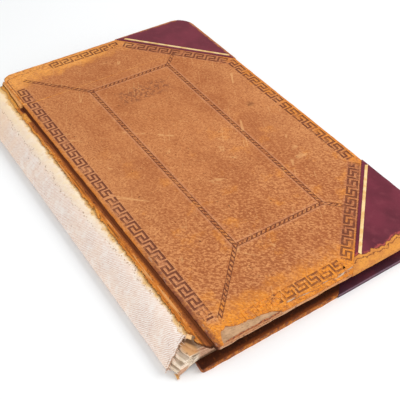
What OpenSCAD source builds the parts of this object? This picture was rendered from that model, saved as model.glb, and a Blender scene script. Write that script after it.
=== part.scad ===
// Antique ledger in worn tan leather with maroon corners, lying closed on its back cover.
// The spine leather is lost and the cream canvas lining shows. The book has settled out of
// square, so the back cover and the lower leaves stand further out behind than the front.
// Millimetres, +Z up, +Y from tail to head, +X from spine to fore edge.
// The origin is the bottom centre of the closed book.

/* [Boards] */
// Width of each board from joint to fore edge
board_w = 200; // [160:1:240]
// Height of each board from tail to head
board_h = 340; // [280:1:400]
// Thickness of the pasteboard
board_t = 3; // [2:0.1:5]
// Corner radius at the fore edge
fore_r = 16; // [8:0.5:24]
// Corner radius at the joint
joint_r = 5; // [2:0.5:10]

/* [Leather] */
// Thickness of the covering leather
leather_t = 0.8; // [0.5:0.05:1.4]
// Width of the leather turned in over the inner face
turn_in_w = 14; // [8:0.5:22]
// Thickness of the pared turn-in and of the pastedown that lies flush with it
turn_in_t = 0.4; // [0.2:0.05:0.8]
// Rounding of the covered edge
edge_r = 1.2; // [0.4:0.1:2]
// Depth of the ragged bare patch along the tail of the front cover
bare_depth = 6; // [2:0.5:12]
// Length of the ragged bare patch
bare_len = 52; // [20:1:90]

/* [Corner pieces] */
// Tail corner: reach along the tail edge
tail_leg_x = 84; // [60:1:100]
// Tail corner: reach along the fore edge
tail_leg_y = 80; // [60:1:100]
// Head corner: reach along the head edge
head_leg_x = 78; // [60:1:100]
// Head corner: reach along the fore edge
head_leg_y = 85; // [60:1:100]
// How far the corner leather stands above the tan leather
corner_proud = 0.4; // [0.2:0.05:0.8]
// Width of the gilt strip
gilt_w = 3; // [1.5:0.1:5]
// Thickness of the gilt strip
gilt_t = 0.6; // [0.4:0.05:1]
// Margin of corner leather outside the gilt strip
gilt_margin = 1.6; // [0.8:0.1:4]

/* [Pages] */
// Thickness of the page block
block_t = 13.6; // [10:0.1:24]
// Margin of the boards past the pages at head and tail
square_w = 5.5; // [3:0.25:9]
// Margin of the boards past the pages at the fore edge
fore_square = 7.5; // [4:0.25:12]
// Hollow of the fore edge
fore_hollow = 1.6; // [0.5:0.1:3]
// How far the book has slipped out of square from front to back
lean = 10; // [4:0.5:14]
// Number of sewn sections
sections = 5; // [4:1:8]
// Depth of the notch between two section folds
fold_notch = 0.7; // [0.3:0.05:1]

/* [Spine] */
// How far the spine stands out behind the front board
spine_reach = 29.2; // [24:0.2:36]
// Distance of the upper shoulder behind the front board
shoulder_x = 9; // [7:0.25:12]
// Thickness of the canvas lining
canvas_t = 0.8; // [0.5:0.05:1.4]
// Height of the canvas above the table
canvas_lift = 0.4; // [0.2:0.05:1]
// Bare paper above the canvas at the head
canvas_head = 9; // [4:0.5:20]
// Lowest point of the torn canvas above the tail edge
canvas_tail = 13; // [4:0.5:20]
// Rise of the torn edge from the outside of the spine to the joint
canvas_tear = 6; // [4:0.5:20]
// Width of the joint leather left on the canvas, at the head
joint_w = 6.5; // [4:0.25:9]
// The same at the tail, where more is left
joint_w_tail = 9; // [4:0.25:11]
// Gap between the joint leather and the edge of the front board
joint_gap = 0.5; // [0.3:0.05:1]
// Number of sewing tapes
tapes = 4; // [3:1:6]
// Width of a sewing tape
tape_w = 14; // [8:1:20]
// Thickness of a sewing tape
tape_t = 0.4; // [0.2:0.05:0.6]

/* [Tooling] */
// Depth of the blind tooling
tool_d = 0.25; // [0.1:0.05:0.4]
// Width of a tooled line of the key border
key_stroke = 1.3; // [0.8:0.05:1.6]
// Height of the key between the middles of its outer lines
key_h = 7; // [5:0.25:9]
// Length of one key
key_pitch = 11; // [9:0.25:14]
// Middle of the key border from the joint
key_joint = 7.5; // [6:0.25:12]
// Middle of the key border from the fore edge
key_fore = 5.6; // [5.2:0.1:12]
// Middle of the key border from the tail
key_tail = 9.2; // [6:0.1:14]
// Middle of the key border from the head
key_head = 7; // [6:0.25:12]
// Middle of the key border from a corner piece
key_corner = 6.5; // [6:0.25:10]
// Inset of the roped panel from the joint
panel_joint = 60; // [45:1:75]
// Inset of the roped panel from the fore edge
panel_fore = 59; // [45:1:75]
// Inset of the roped panel from head and tail
panel_end = 62; // [45:1:75]
// Width of a roped line
rope_w = 3.4; // [2:0.1:5]

/* [Hidden] */
$fn = 36;
tan_colour = "#b9763f";
maroon_colour = "#6e2a35";
gilt_colour = "#e3c37d";
board_colour = "#b3a48f";
paper_colour = "#e0c9ab";
canvas_colour = "#efe2d0";

// Heights of the layers, from the table up
cover_t = turn_in_t + board_t + leather_t;
z_back = cover_t;
z_front = z_back + block_t;
// Outer sizes of a covered board
out = leather_t + corner_proud;
mid_x = (board_w + out - spine_reach) / 2;
mid_y = board_h / 2;
// Slack for cutters that pass right through
cut = 1;
// Length of the steps along a ragged edge
rag_step = 4;

// Ragged edge: a repeatable wander between -1 and 1 along a length
function rag(s, phase = 0) =
    0.5 * sin(s * 23 + phase) + 0.3 * sin(s * 61 + 2 * phase) + 0.2 * sin(s * 139 + 3 * phase);

// Point and inward normal of a cubic curve
function curve(p, t) =
    let (a = 1 - t) a*a*a*p[0] + 3*a*a*t*p[1] + 3*a*t*t*p[2] + t*t*t*p[3];
function slope(p, t) =
    let (a = 1 - t) 3*a*a*(p[1] - p[0]) + 6*a*t*(p[2] - p[1]) + 3*t*t*(p[3] - p[2]);
function inward(p, t) =
    let (d = slope(p, t)) [-d[1], d[0]] / norm(d);
function along(p, from, to, steps, depth) =
    [for (i = [0:steps]) let (t = from + (to - from) * i / steps) curve(p, t) + depth * inward(p, t)];
function backwards(list) = [for (i = [len(list) - 1:-1:0]) list[i]];

// Outer face of the canvas: over the shoulder, down the back, and under it
canvas_top = z_front + canvas_t;
shoulder_pull = 8;
back_foot = 3.2;
foot_pull = 2;
toe_pull = 1.2;
toe_run = 4.2;
back_curve = [
    [-shoulder_x, canvas_top],
    [-shoulder_x - shoulder_pull, canvas_top],
    [-spine_reach, canvas_top / 2],
    [-spine_reach, back_foot]
];
under_curve = [
    [-spine_reach, back_foot],
    [-spine_reach, back_foot - foot_pull],
    [-spine_reach + toe_pull, canvas_lift],
    [-spine_reach + toe_run, canvas_lift]
];
curve_steps = 12;
under_steps = 6;
under_from = 0.1;
// Ends of the canvas above the front joint and below the back joint
under_gap = 3;
canvas_over = -joint_gap - leather_t;
canvas_under = -lean - under_gap;

// Folds of the sections: their middles lie on a curve behind the boards, from a first fold
// behind the shoulder to a last fold at the foot of the spine
fold_r = 2.05;
first_fold_x = 2.5;
first_fold_z = 1.1;
first_pull_x = 7;
first_pull_z = 2;
last_pull_x = 5;
last_pull_z = 4.6;
last_fold_x = 4.3;
last_fold_z = 0.8;
fold_curve = [
    [-shoulder_x - first_fold_x, z_front - fold_r - first_fold_z],
    [-shoulder_x - first_pull_x, z_front - fold_r - first_pull_z],
    [-spine_reach + last_pull_x, z_back + last_pull_z],
    [-spine_reach + last_fold_x, z_back - last_fold_z]
];

// Turns the working layout, with its zero at the front board's tail and joint corner,
// into the part's own frame
module place() {
    translate([-mid_x, -mid_y, 0]) children();
}

// The front cover lies on the pages, the back cover is its mirror image on the table
module front_cover() {
    place() translate([0, 0, z_front]) children();
}
module back_cover() {
    place() translate([-lean, 0, z_back]) mirror([0, 0, 1]) children();
}

// Outline of a board with round corners, grown on every side
module board_outline(grow = 0) {
    x0 = leather_t - grow;
    x1 = board_w + grow;
    y0 = -grow;
    y1 = board_h + grow;
    rj = joint_r + grow;
    rf = fore_r + grow;
    lap = cut / 10;
    union() {
        translate([x0 + rj, y0]) square([x1 - rf - x0 - rj, y1 - y0]);
        translate([x0, y0 + rj]) square([rj + lap, y1 - y0 - 2 * rj]);
        translate([x1 - rf - lap, y0 + rf]) square([rf + lap, y1 - y0 - 2 * rf]);
        for (y = [y0 + rj, y1 - rj]) translate([x0 + rj, y]) circle(rj);
        for (y = [y0 + rf, y1 - rf]) translate([x1 - rf, y]) circle(rf);
    }
}

// Solid of a covered board with its outer edge rounded in three steps, each with its drop
// from the top and its inset as shares of the rounding
edge_steps = [[1, 0], [0.4, 0.2], [0, 0.6]];
module covered_solid(grow, height) {
    union() {
        for (s = edge_steps)
            linear_extrude(height - edge_r * s[0]) board_outline(grow - edge_r * s[1]);
    }
}

// Triangle that a corner piece takes from the cover, moved in from its diagonal edge
module corner_region(leg_x, leg_y, inset = 0, at_head = false) {
    shift = inset * norm([leg_x, leg_y]);
    lx = leg_x - shift / leg_y;
    ly = leg_y - shift / leg_x;
    far = 2 * out;
    x = board_w + far;
    y0 = at_head ? board_h + far : -far;
    turn = at_head ? -1 : 1;
    reach_x = lx * (1 + far / ly);
    reach_y = ly * (1 + far / lx);
    polygon([[x, y0], [board_w - reach_x, y0], [x, y0 + turn * (reach_y + far)]]);
}
module tail_region(inset = 0) {
    corner_region(tail_leg_x, tail_leg_y, inset);
}
module head_region(inset = 0) {
    corner_region(head_leg_x, head_leg_y, inset, true);
}

// One run of the key border along +X: a single meander line with square turns,
// whose turns lie at shares of a key's length
key_top = 0.69;
key_in = 0.27;
key_foot = 0.72;
function key_points(n, pitch, turn) = [
    for (i = [0:n - 1]) each [
        [i * pitch, -turn * key_h / 2],
        [i * pitch, turn * key_h / 2],
        [(i + key_top) * pitch, turn * key_h / 2],
        [(i + key_top) * pitch, 0],
        [(i + key_in) * pitch, 0],
        [(i + key_in) * pitch, -turn * key_h / 2]
    ],
    [(n - 1 + key_foot) * pitch, -turn * key_h / 2]
];
function side(p, q) = let (d = (q - p) / norm(q - p)) [-d[1], d[0]];
function beside(pts, d) = [
    for (i = [0:len(pts) - 1])
        pts[i] + d * (
            i == 0 ? side(pts[0], pts[1])
            : i == len(pts) - 1 ? side(pts[i - 1], pts[i])
            : side(pts[i - 1], pts[i]) + side(pts[i], pts[i + 1])
        )
];
// A run from one point towards another, with whole keys fitted between them
module key_between(from, to, turn = 1) {
    d = to - from;
    n = max(1, round(norm(d) / key_pitch));
    line = key_points(n, norm(d) / n, turn);
    translate(from) rotate(atan2(d[1], d[0]))
        polygon(concat(beside(line, key_stroke / 2), backwards(beside(line, -key_stroke / 2))));
}

// A straight roped line from one point to another
module rope_line(from, to) {
    d = to - from;
    translate(from) rotate(atan2(d[1], d[0])) translate([0, -rope_w / 2]) square([norm(d), rope_w]);
}

// Blind tooling of a cover: key border, roped panel and its mitres
fore_key_x = board_w - key_fore;
head_key_y = board_h - key_head;
panel_x = board_w - panel_fore;
panel_y = board_h - panel_end;
tail_way = [tail_leg_x, tail_leg_y] / norm([tail_leg_x, tail_leg_y]);
tail_off = [-tail_way[1], tail_way[0]] * key_corner;
head_way = [head_leg_x, -head_leg_y] / norm([head_leg_x, head_leg_y]);
head_off = [head_way[1], -head_way[0]] * key_corner;
// Ends of the runs: at the joint, in the middle, by a corner piece, and where the leather is worn
joint_tail_end = 20;
joint_head_end = 28;
joint_meet_below = 18;
fore_meet_above = 6;
key_lap = 1.2;
key_meet = board_h / 2 - joint_meet_below;
fore_meet = board_h / 2 + fore_meet_above;
corner_clear = 9;
tail_worn = 49;
head_worn = 36;
module key_border() {
    key_between([key_joint, joint_tail_end], [key_joint, key_meet + key_lap], 1);
    key_between([key_joint, board_h - joint_head_end], [key_joint, key_meet - key_lap], -1);
    key_between([fore_key_x, tail_leg_y + corner_clear], [fore_key_x, fore_meet + key_lap], -1);
    key_between(
        [fore_key_x, board_h - head_leg_y - corner_clear / 2],
        [fore_key_x, fore_meet - key_lap], 1);
    key_between([tail_worn, key_tail], [board_w - tail_leg_x, key_tail], -1);
    key_between([head_worn, head_key_y], [board_w - head_leg_x, head_key_y], 1);
    key_between(
        [board_w - tail_leg_x, 0] + tail_off + tail_way * corner_clear,
        [board_w, tail_leg_y] + tail_off, -1);
    key_between(
        [board_w - head_leg_x, board_h] + head_off + head_way * corner_clear,
        [board_w, board_h - head_leg_y] + head_off - head_way * corner_clear / 2, 1);
}
// Mitres run out from the panel's corners, long ones to the joint and short ones to the corner pieces
mitre_in = 16;
tail_mitre = 10;
head_mitre = 14;
module roped_panel() {
    size = [panel_x - panel_joint, panel_y - panel_end];
    half = [rope_w, rope_w] / 2;
    difference() {
        translate([panel_joint, panel_end] - half) square(size + 2 * half);
        translate([panel_joint, panel_end] + half) square(size - 2 * half);
    }
    rope_line([mitre_in, mitre_in], [panel_joint, panel_end]);
    rope_line([mitre_in, board_h - mitre_in], [panel_joint, panel_y]);
    rope_line([panel_x + tail_mitre, panel_end - tail_mitre], [panel_x, panel_end]);
    rope_line([panel_x + head_mitre, panel_y + head_mitre], [panel_x, panel_y]);
}

// Bare patch along the tail edge, seen from above: deepest in its middle, with a ragged edge
bare_start = 2;
bare_swell = 0.62;
bare_fray = 0.3;
bare_least = 0.4;
module bare_patch() {
    run = bare_len - bare_start + cut;
    polygon(concat(
        [[bare_len, -out - cut], [bare_start, -out - cut]],
        [for (x = [bare_start:rag_step:bare_len])
            let (swell = bare_depth * sin(180 * (x - bare_start + cut) / run))
                [x, swell * (bare_swell + bare_fray * rag(x)) + bare_least]]
    ));
}

// Sub-parts that both covers have, with the inner face at zero and the outer face up
module cover_board() {
    translate([0, 0, turn_in_t]) linear_extrude(board_t) board_outline();
}
module turn_in_window() {
    translate([-cut, turn_in_w, -cut])
        cube([board_w - turn_in_w + cut, board_h - 2 * turn_in_w, turn_in_t + cut]);
}
module cover_hollow() {
    translate([0, 0, turn_in_t]) linear_extrude(board_t) board_outline();
    turn_in_window();
}
module cover_leather() {
    difference() {
        covered_solid(leather_t, cover_t);
        cover_hollow();
        translate([0, 0, -cut]) linear_extrude(cover_t + 2 * cut) {
            tail_region();
            head_region();
        }
        translate([0, 0, cover_t - tool_d]) linear_extrude(tool_d + cut) {
            key_border();
            roped_panel();
        }
    }
}
module gilt_band(region) {
    difference() {
        if (region == "tail") tail_region(gilt_margin); else head_region(gilt_margin);
        if (region == "tail") tail_region(gilt_margin + gilt_w); else head_region(gilt_margin + gilt_w);
    }
}
module cover_corner(region, proud) {
    difference() {
        intersection() {
            covered_solid(out, cover_t + proud);
            translate([0, 0, -cut]) linear_extrude(cover_t + 3 * cut)
                if (region == "tail") tail_region(); else head_region();
        }
        cover_hollow();
        translate([0, 0, cover_t - gilt_t + proud]) linear_extrude(gilt_t + cut) gilt_band(region);
    }
}
// The gilt and the pastedown stop short of the board's edge
gilt_short = 0.6;
pastedown_short = 1;
module cover_gilt(region, proud) {
    translate([0, 0, cover_t - gilt_t + proud]) linear_extrude(gilt_t)
        intersection() {
            gilt_band(region);
            board_outline(-gilt_short);
        }
}
module cover_pastedown() {
    translate([pastedown_short, turn_in_w, 0])
        cube([board_w - turn_in_w - pastedown_short, board_h - 2 * turn_in_w, turn_in_t]);
}

module back_board() {
    color(board_colour) back_cover() cover_board();
}
module back_leather() {
    color(tan_colour) back_cover() cover_leather();
}
module back_corner_head() {
    color(maroon_colour) back_cover() cover_corner("head", 0);
}
module back_corner_tail() {
    color(maroon_colour) back_cover() cover_corner("tail", 0);
}
module back_gilt_head() {
    color(gilt_colour) back_cover() cover_gilt("head", 0);
}
module back_gilt_tail() {
    color(gilt_colour) back_cover() cover_gilt("tail", 0);
}
module back_pastedown() {
    color(paper_colour) back_cover() cover_pastedown();
}

module front_board() {
    color(board_colour) front_cover() cover_board();
}
// The tan leather of the front, with the patch that is worn off along the tail
module front_leather() {
    color(tan_colour) front_cover() difference() {
        cover_leather();
        translate([0, 0, turn_in_t]) linear_extrude(cover_t) bare_patch();
    }
}
module front_corner_head() {
    color(maroon_colour) front_cover() cover_corner("head", corner_proud);
}
module front_corner_tail() {
    color(maroon_colour) front_cover() cover_corner("tail", corner_proud);
}
module front_gilt_head() {
    color(gilt_colour) front_cover() cover_gilt("head", corner_proud);
}
module front_gilt_tail() {
    color(gilt_colour) front_cover() cover_gilt("tail", corner_proud);
}
module front_pastedown() {
    color(paper_colour) front_cover() cover_pastedown();
}

// Stands a profile, drawn with X across the book and Y up, along the book from one end to another
module along_book(from, to) {
    translate([0, to, 0]) rotate([90, 0, 0]) linear_extrude(to - from) children();
}

// The pages as one solid: slanted hollow fore edge, folded sections at the spine
fold_at = [for (i = [0:sections - 1]) curve(fold_curve, i / (sections - 1))];
fore_steps = 8;
heel = 1;
module page_block() {
    fore_top = board_w - fore_square;
    fore_edge = [
        for (i = [0:fore_steps]) let (t = i / fore_steps)
            [fore_top - lean * (1 - t) - fore_hollow * sin(180 * t), z_back + block_t * t]
    ];
    color(paper_colour) place() along_book(square_w, board_h - square_w) union() {
        polygon(concat(
            fore_edge,
            [[-shoulder_x, z_front]],
            along(fold_curve, 0, 1, 2 * sections, fold_notch - fold_r),
            [[fold_at[sections - 1][0], fold_at[sections - 1][1] - fold_r], [-lean - heel, z_back]]
        ));
        for (p = fold_at) translate(p) circle(fold_r);
    }
}

// Tapes over the folds, under the canvas: the first one in from the end of the pages,
// each from near the first fold to near the last
tape_first = 40;
tape_start_share = 0.05;
tape_end_share = 0.95;
tape_gap = 0.05;
tape_steps = 8;
module sewing_tapes() {
    first = square_w + tape_first;
    pitch = (board_h - 2 * first) / (tapes - 1);
    under = -fold_r - tape_gap;
    color(canvas_colour) place() for (i = [0:tapes - 1])
        along_book(first + i * pitch - tape_w / 2, first + i * pitch + tape_w / 2)
            polygon(concat(
                along(fold_curve, tape_start_share, tape_end_share, tape_steps, under - tape_t),
                backwards(along(fold_curve, tape_start_share, tape_end_share, tape_steps, under))
            ));
}

// Canvas lining, whole over the back of the spine and torn off at the tail
canvas_fray = 1.4;
fray_rate = 4;
module canvas_plan() {
    span = spine_reach + canvas_over;
    polygon(concat(
        [[canvas_over + cut, board_h - canvas_head], [-spine_reach - cut, board_h - canvas_head]],
        [for (x = [-spine_reach - cut:rag_step / 2:canvas_over + cut])
            [x, canvas_tail + canvas_tear * (x + spine_reach) / span + canvas_fray * rag(x * fray_rate)]]
    ));
}
module spine_canvas() {
    color(canvas_colour) place() intersection() {
        along_book(0, board_h) polygon(concat(
            [[canvas_over, canvas_top]],
            along(back_curve, 0, 1, curve_steps, 0),
            along(under_curve, under_from, 1, under_steps, 0),
            [[canvas_under, canvas_lift], [canvas_under, canvas_lift + canvas_t]],
            backwards(along(under_curve, under_from, 1, under_steps, canvas_t)),
            backwards(along(back_curve, 0, 1, curve_steps, canvas_t)),
            [[canvas_over, z_front]]
        ));
        linear_extrude(z_front + cover_t + cut) canvas_plan();
    }
}

// Strip of joint leather that is left in the front joint, ragged on the canvas side
strip_tail = 1;
strip_head = 2;
strip_fray = 1.1;
strip_phase = 40;
module joint_plan() {
    polygon(concat(
        [[0, board_h - strip_head], [0, strip_tail]],
        [for (y = [strip_tail:rag_step:board_h - strip_head])
            let (w = joint_w + (joint_w_tail - joint_w) * (1 - y / board_h))
                [-w + strip_fray * rag(y, strip_phase), y]]
    ));
}
// It stands up against the board in a lip and follows the shoulder
lip_fillet = 0.8;
strip_start_share = 0.02;
strip_end_share = 0.2;
strip_steps = 4;
module joint_leather() {
    lip = leather_t + joint_gap;
    lip_top = z_front + cover_t - edge_r;
    bed = canvas_top;
    color(tan_colour) place() intersection() {
        along_book(0, board_h) polygon(concat(
            [[-joint_gap, bed], [-joint_gap, lip_top], [-lip, lip_top],
             [-lip, bed + leather_t + lip_fillet], [-lip - lip_fillet, bed + leather_t],
             [-shoulder_x, bed + leather_t]],
            along(back_curve, strip_start_share, strip_end_share, strip_steps, -leather_t),
            backwards(along(back_curve, strip_start_share, strip_end_share, strip_steps, 0)),
            [[-shoulder_x, bed]]
        ));
        linear_extrude(z_front + cover_t + cut) joint_plan();
    }
}

back_board();
back_leather();
back_corner_head();
back_corner_tail();
back_gilt_head();
back_gilt_tail();
back_pastedown();
page_block();
sewing_tapes();
spine_canvas();
joint_leather();
front_board();
front_leather();
front_corner_head();
front_corner_tail();
front_gilt_head();
front_gilt_tail();
front_pastedown();
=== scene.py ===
import math
import random

import bpy
from mathutils import Euler, Matrix, Vector, noise


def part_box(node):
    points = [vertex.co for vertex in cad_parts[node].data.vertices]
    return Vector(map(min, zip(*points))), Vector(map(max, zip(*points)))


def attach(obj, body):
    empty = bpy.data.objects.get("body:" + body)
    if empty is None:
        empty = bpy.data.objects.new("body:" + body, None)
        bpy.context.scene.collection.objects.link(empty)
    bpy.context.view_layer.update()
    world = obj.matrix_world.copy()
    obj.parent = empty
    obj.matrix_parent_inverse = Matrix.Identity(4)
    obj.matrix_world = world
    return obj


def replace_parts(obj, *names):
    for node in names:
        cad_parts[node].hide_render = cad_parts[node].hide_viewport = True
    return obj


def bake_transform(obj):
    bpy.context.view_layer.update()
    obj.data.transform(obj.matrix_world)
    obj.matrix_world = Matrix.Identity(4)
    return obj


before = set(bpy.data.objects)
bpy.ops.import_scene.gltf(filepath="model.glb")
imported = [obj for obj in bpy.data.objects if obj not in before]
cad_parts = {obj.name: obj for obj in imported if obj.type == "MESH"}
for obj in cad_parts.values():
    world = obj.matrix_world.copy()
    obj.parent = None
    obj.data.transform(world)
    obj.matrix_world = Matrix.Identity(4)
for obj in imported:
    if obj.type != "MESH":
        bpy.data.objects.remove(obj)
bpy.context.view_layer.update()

# the book's own layout, read from the frame: millimetres, zero at the front cover's joint and tail corner
mm = 0.001
leatherLow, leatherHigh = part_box("front_leather")
boardLow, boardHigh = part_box("front_board")
backLow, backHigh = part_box("back_leather")
canvasLow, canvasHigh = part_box("spine_canvas")
pageLow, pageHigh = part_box("page_block")
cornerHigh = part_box("front_corner_tail")[1]
origin = Vector((leatherLow.x, boardLow.y, 0))
wide = (boardHigh.x - origin.x) / mm
high = (boardHigh.y - origin.y) / mm
zFront = leatherLow.z / mm
zBack = backHigh.z / mm
coverThick = (leatherHigh.z - leatherLow.z) / mm
skinThick = (leatherHigh.z - boardHigh.z) / mm
turnIn = (boardLow.z - leatherLow.z) / mm
proud = (cornerHigh.z - leatherHigh.z) / mm
lean = (leatherLow.x - backLow.x) / mm
reach = (origin.x - canvasLow.x) / mm
canvasTop = canvasHigh.z / mm
canvasLift = canvasLow.z / mm
pageTail = (pageLow.y - origin.y) / mm
pageHead = (pageHigh.y - origin.y) / mm
pageFore = (pageHigh.x - origin.x) / mm
print("frame loaded, cover", round(wide), "by", round(high), "mm")


# small tools

def only(obj):
    bpy.ops.object.select_all(action="DESELECT")
    obj.select_set(True)
    bpy.context.view_layer.objects.active = obj


def applied(obj, kind, **settings):
    only(obj)
    mod = obj.modifiers.new(kind.lower(), kind)
    for key, value in settings.items():
        setattr(mod, key, value)
    bpy.ops.object.modifier_apply(modifier=mod.name)
    return obj


def edited(obj, tool, **settings):  # one edit-mode tool on the whole mesh
    only(obj)
    bpy.ops.object.mode_set(mode="EDIT")
    bpy.ops.mesh.select_all(action="SELECT")
    tool(**settings)
    bpy.ops.object.mode_set(mode="OBJECT")
    return obj


def fixed(obj):  # place, turn and size go into the mesh
    only(obj)
    bpy.ops.object.transform_apply(location=True, rotation=True, scale=True)
    return obj


def named(obj, name):
    obj.name = name
    obj.data.name = name
    return obj


def started(primitive, **settings):  # a primitive, with all else deselected first
    bpy.ops.object.select_all(action="DESELECT")
    primitive(**settings)
    return bpy.context.object


def startGrid(name, x0, x1, y0, y1, z, step, acrossStep=None):
    across = max(1, round((x1 - x0) / (acrossStep or step)))
    along = max(1, round((y1 - y0) / step))
    obj = started(bpy.ops.mesh.primitive_grid_add, x_subdivisions=across, y_subdivisions=along, size=1)
    obj.location = ((x0 + x1) / 2, (y0 + y1) / 2, z)
    obj.scale = (x1 - x0, y1 - y0, 1)
    return fixed(named(obj, name))


def startBox(name, low, top):
    obj = started(bpy.ops.mesh.primitive_cube_add, size=1)
    obj.location = [(a + b) / 2 for a, b in zip(low, top)]
    obj.scale = [b - a for a, b in zip(low, top)]
    return fixed(named(obj, name))


def bisected(obj, point, way, drop=False):
    return edited(obj, bpy.ops.mesh.bisect, plane_co=point, plane_no=way, clear_outer=drop)


def roundedOff(obj, centre, radius, fromDeg, toDeg, cuts):
    for i in range(cuts):
        a = math.radians(fromDeg + (toDeg - fromDeg) * (i + 0.5) / cuts)
        way = Vector((math.cos(a), math.sin(a), 0))
        bisected(obj, Vector(centre).to_3d() + way * radius, way, drop=True)


def subtract(obj, cutter):
    applied(obj, "BOOLEAN", operation="DIFFERENCE", solver="EXACT", object=cutter,
            material_mode="TRANSFER")
    bpy.data.objects.remove(cutter)


def joined(name, objs):
    bpy.ops.object.select_all(action="DESELECT")
    for o in objs:
        o.select_set(True)
    bpy.context.view_layer.objects.active = objs[0]
    bpy.ops.object.join()
    return named(bpy.context.object, name)


def outward(obj, merge=0.01):  # doubles merged, faces turned out
    edited(obj, bpy.ops.mesh.remove_doubles, threshold=merge)
    return edited(obj, bpy.ops.mesh.normals_make_consistent, inside=False)


def moved(obj, change):  # every point goes through one formula
    for v in obj.data.vertices:
        v.co = change(v.co.copy())
    obj.data.update()
    return obj


noise.seed_set(7)  # the clock would seed noise_vector otherwise, and no two runs would match


def wander(p, size, seed=0.0):  # a smooth offset between -1 and 1 on each axis
    return noise.noise_vector(Vector(p) / size + Vector((seed, seed * 0.7, -seed)))


def rag(s, seed=0.0):  # a torn line's wander, coarse and fine together
    return (noise.noise(Vector((s / 9, seed, 0))) + 0.6 * noise.noise(Vector((s / 3.1, seed, 5)))
            + 0.45 * noise.noise(Vector((s / 1.2, seed, 9))))


def ease(t):
    t = min(1.0, max(0.0, t))
    return t * t * (3 - 2 * t)


def settle(obj, side=None):  # from millimetres on the bench to the frame
    shift = {None: (0, 0), "front": (0, zFront), "back": (-lean, zBack)}[side]
    obj.scale = (mm, mm, -mm if side == "back" else mm)
    obj.location = origin + Vector((shift[0], 0, shift[1])) * mm
    return outward(fixed(obj), 0.000002)


def dressed(obj, body, slot, *materials, smooth=35):
    for i, m in enumerate(materials):
        if i < len(obj.data.materials):
            obj.data.materials[i] = m
        else:
            obj.data.materials.append(m)
    only(obj)
    bpy.ops.object.shade_smooth_by_angle(angle=math.radians(smooth))
    if body:
        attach(obj, body)
    return obj


# shader sums

class Wire:  # a shader socket that can stand in a sum
    def __init__(self, tree, socket):
        self.tree = tree
        self.socket = socket

    def node(self, kind, inputs, out=0, **settings):
        made = self.tree.nodes.new("ShaderNode" + kind)
        for key, value in settings.items():
            setattr(made, key, value)
        for key, value in inputs.items():
            if isinstance(value, Wire):
                self.tree.links.new(value.socket, made.inputs[key])
            else:
                made.inputs[key].default_value = value
        return Wire(self.tree, made.outputs[out])

    def math(self, operation, *others):
        return self.node("Math", dict(enumerate((self,) + others)), operation=operation)

    def __add__(self, other):
        return self.math("ADD", other)

    def __sub__(self, other):
        return self.math("SUBTRACT", other)

    def __rsub__(self, other):
        return self.node("Math", {0: other, 1: self}, operation="SUBTRACT")

    def __mul__(self, other):
        return self.math("MULTIPLY", other)

    def __truediv__(self, other):
        return self.math("DIVIDE", other)

    __radd__ = __add__
    __rmul__ = __mul__

    def low(self, other):
        return self.math("MINIMUM", other)

    def top(self, other):
        return self.math("MAXIMUM", other)

    def size(self):
        return self.math("ABSOLUTE")

    def step(self, start, end):  # 0 at start, 1 at end, eased
        return self.node("MapRange", {"Value": self, "From Min": start, "From Max": end},
                         interpolation_type="SMOOTHSTEP")

    def parts(self):
        return [self.node("SeparateXYZ", {0: self}, out=i) for i in range(3)]

    def stretch(self, sizes, shift=(0, 0, 0)):
        return self.node("VectorMath", {0: self, 1: sizes, 2: shift}, operation="MULTIPLY_ADD")

    def turned(self, degrees):
        return self.node("Mapping", {"Vector": self, "Rotation": (0, 0, math.radians(degrees))})

    def cloud(self, size, detail=2.0, rough=0.5):  # noise whose blotches are about size across
        return self.node("TexNoise", {"Vector": self, "Scale": 1 / size, "Detail": detail,
                                      "Roughness": rough})

    def cells(self, size):
        return self.node("TexVoronoi", {"Vector": self, "Scale": 1 / size})

    def over(self, under, colour):  # colour laid over another where this mask is 1
        return self.node("Mix", {0: self, 6: under, 7: colour}, out=2, data_type="RGBA")

    def mix(self, under, upper):  # the same for plain numbers
        return self.node("Mix", {0: self, 2: under, 3: upper})


def rgb(r, g, b):
    return (r, g, b, 1)


def layered(colour, colours, layers):  # colours laid one over another, each where its mask is 1
    for mask, top in layers:
        colour = mask.over(colour, colours[top] if isinstance(top, str) else top)
    return colour


def finish(name, paint, roughness=0.6, specular=0.3, metallic=0.0, bumpDepth=0.2, shift=0.0, **choices):
    mat = bpy.data.materials.new(name)
    mat.use_nodes = True
    tree = mat.node_tree
    shader = tree.nodes["Principled BSDF"]
    coords = Wire(tree, tree.nodes.new("ShaderNodeTexCoord").outputs["Object"])
    start = (-origin.x / mm + shift, -origin.y / mm, 0)
    place = coords.stretch((1 / mm,) * 3, start)  # the book's millimetres
    colour, rough, height = paint(place, **choices)
    shader.inputs["Specular IOR Level"].default_value = specular
    shader.inputs["Metallic"].default_value = metallic
    shader.inputs["Roughness"].default_value = roughness
    tree.links.new(colour.socket, shader.inputs["Base Color"])
    if rough is not None:
        tree.links.new(rough.socket, shader.inputs["Roughness"])
    if height is not None:
        bump = height.node("Bump", {"Height": height, "Distance": bumpDepth * mm, "Strength": 1.0})
        tree.links.new(bump.socket, shader.inputs["Normal"])
    return mat


# tan leather of the covers

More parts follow.
